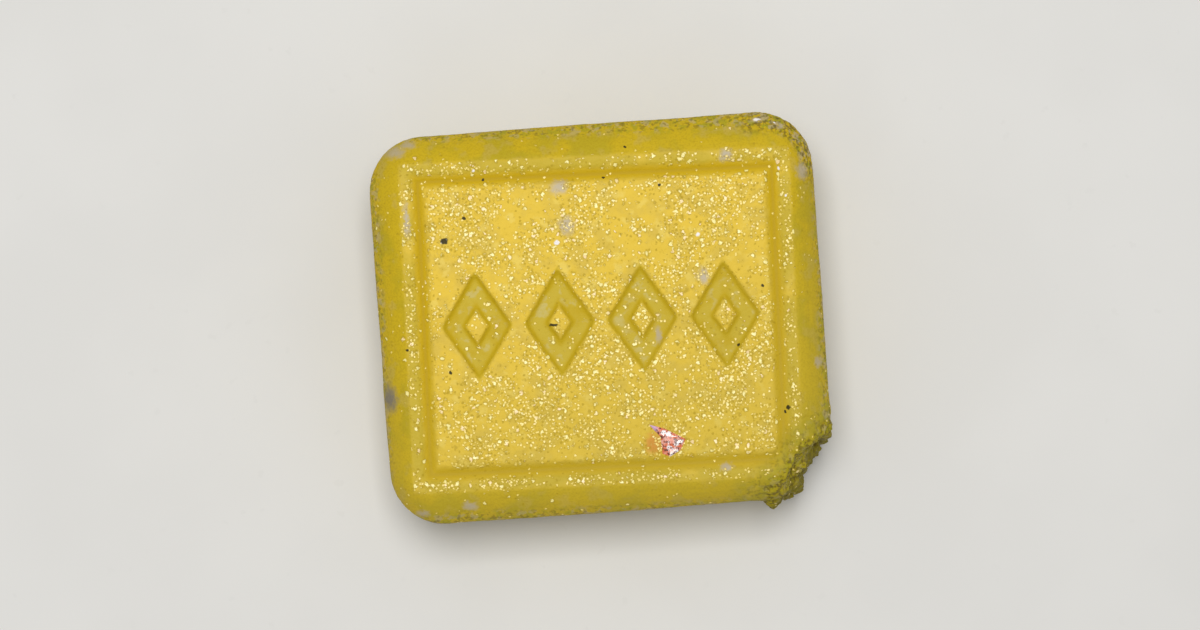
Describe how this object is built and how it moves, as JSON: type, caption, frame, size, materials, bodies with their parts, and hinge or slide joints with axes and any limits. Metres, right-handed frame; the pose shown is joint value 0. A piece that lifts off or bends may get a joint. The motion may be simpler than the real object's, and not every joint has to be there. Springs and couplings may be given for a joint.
{
  "type": "pressed powder tablet",
  "caption": "Small rounded rectangular pressed powder tablet with sloping shoulders, a framed face, a sunk row of hollow lozenges and a broken corner.",
  "frame": {"origin": "middle of the plain back that the tablet lies on", "axes": "+Z out of the stamped face, +X along the longer side, +Y away from the long edge that has the broken corner, which is at +X -Y"},
  "size_m": [0.0108, 0.0097, 0.0042],
  "materials": {
    "pressed_powder": "matte"
  },
  "bodies": {
    "root": {"tablet": "pressed_powder"}
  },
  "joints": []
}
